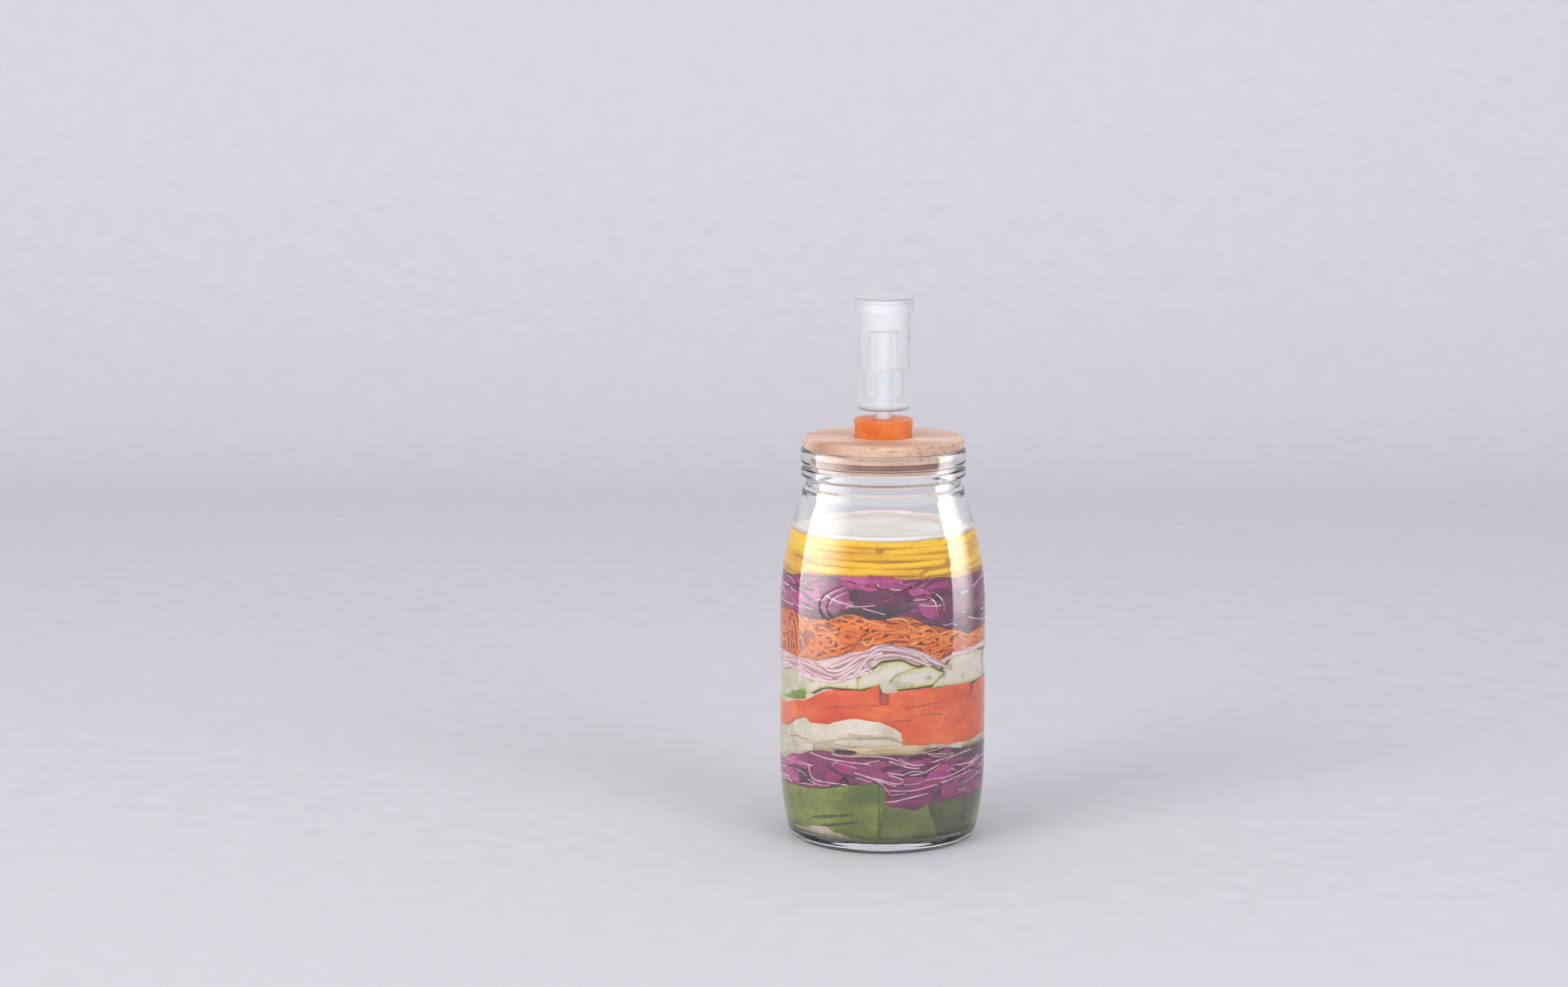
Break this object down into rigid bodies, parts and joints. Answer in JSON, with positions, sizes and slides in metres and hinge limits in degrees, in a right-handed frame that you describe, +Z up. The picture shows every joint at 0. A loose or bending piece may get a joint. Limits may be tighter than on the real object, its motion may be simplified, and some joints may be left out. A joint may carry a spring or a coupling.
{
  "type": "fermentation jar with airlock",
  "caption": "Tall glass fermentation jar with a wooden plug lid, silicone bung and clear airlock, filled with layered vegetables in brine under ceramic stones.",
  "frame": {"origin": "centre of the jar's base, on the surface that it stands on", "axes": "+Z up along the jar's axis of rotation; the sloping layers of vegetables rise along X"},
  "size_m": [0.14, 0.14, 0.3712],
  "materials": {
    "clear_glass": "gloss",
    "beech": "satin",
    "clear_silicone": "satin",
    "orange_silicone": "satin",
    "clear_plastic": "gloss",
    "water": "gloss",
    "stone_ceramic": "gloss",
    "brine": "gloss",
    "green_pepper": "gloss",
    "red_cabbage": "gloss",
    "cauliflower": "satin",
    "red_pepper": "gloss",
    "courgette": "gloss",
    "red_onion": "gloss",
    "carrot": "gloss",
    "yellow_pepper": "gloss"
  },
  "bodies": {
    "jar": {"glass_jar": "clear_glass", "brine": "brine", "green_pepper": "green_pepper", "lower_cabbage": "red_cabbage", "cauliflower": "cauliflower", "red_pepper": "red_pepper", "courgette": "courgette", "red_onion": "red_onion", "carrot": "carrot", "upper_cabbage": "red_cabbage", "yellow_pepper": "yellow_pepper"},
    "lid": {"wooden_lid": "beech", "lid_seal": "clear_silicone"},
    "bung": {"bung": "orange_silicone"},
    "airlock": {"airlock_body": "clear_plastic", "airlock_water": "water"},
    "float": {"airlock_float": "clear_plastic"},
    "cap": {"airlock_cap": "clear_plastic"},
    "lower_stone": {"lower_stone": "stone_ceramic"},
    "upper_stone": {"upper_stone": "stone_ceramic"}
  },
  "joints": [
    {"name": "lid_lift", "type": "slide", "parent": "jar", "child": "lid", "axis": [0, 0, 1], "range_m": [0, 0.12]},
    {"name": "bung_pull", "type": "slide", "parent": "lid", "child": "bung", "axis": [0, 0, 1], "range_m": [0, 0.05]},
    {"name": "airlock_pull", "type": "slide", "parent": "bung", "child": "airlock", "axis": [0, 0, 1], "range_m": [0, 0.05]},
    {"name": "float_rise", "type": "slide", "parent": "airlock", "child": "float", "axis": [0, 0, 1], "range_m": [0, 0.018]},
    {"name": "cap_lift", "type": "slide", "parent": "airlock", "child": "cap", "axis": [0, 0, 1], "range_m": [0, 0.03]},
    {"name": "lower_stone_lift", "type": "slide", "parent": "jar", "child": "lower_stone", "axis": [0, 0, 1], "range_m": [0, 0.014]},
    {"name": "upper_stone_lift", "type": "slide", "parent": "lower_stone", "child": "upper_stone", "axis": [0, 0, 1], "range_m": [0, 0.018]}
  ]
}
